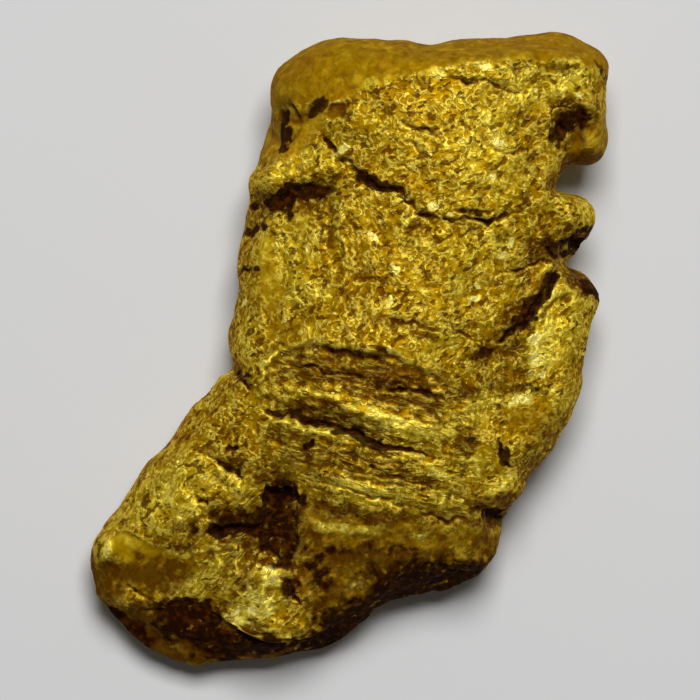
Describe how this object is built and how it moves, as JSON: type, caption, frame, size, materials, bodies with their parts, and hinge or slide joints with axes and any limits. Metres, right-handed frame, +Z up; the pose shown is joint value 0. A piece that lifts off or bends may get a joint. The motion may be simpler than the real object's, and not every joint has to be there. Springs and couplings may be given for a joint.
{
  "type": "gold nugget",
  "caption": "Flattened lump of native gold, folded over at one end, with corrugated folds across its face and a rounded toe, lying on its worn back.",
  "frame": {"origin": "centre of the nugget's bounding box in plan, on the surface that it lies on", "axes": "+Z up out of the nugget's richer face, +Y along its length towards the rolled end, +X to the right of that, towards the flap and the knob"},
  "size_m": [0.013, 0.0156, 0.0039],
  "materials": {
    "native_gold": "rich yellow native gold, granular and sparkling on the face, smoother on the rolled end, with dark brown dirt left in the creases"
  },
  "bodies": {
    "root": {"nugget": "native_gold"}
  },
  "joints": []
}
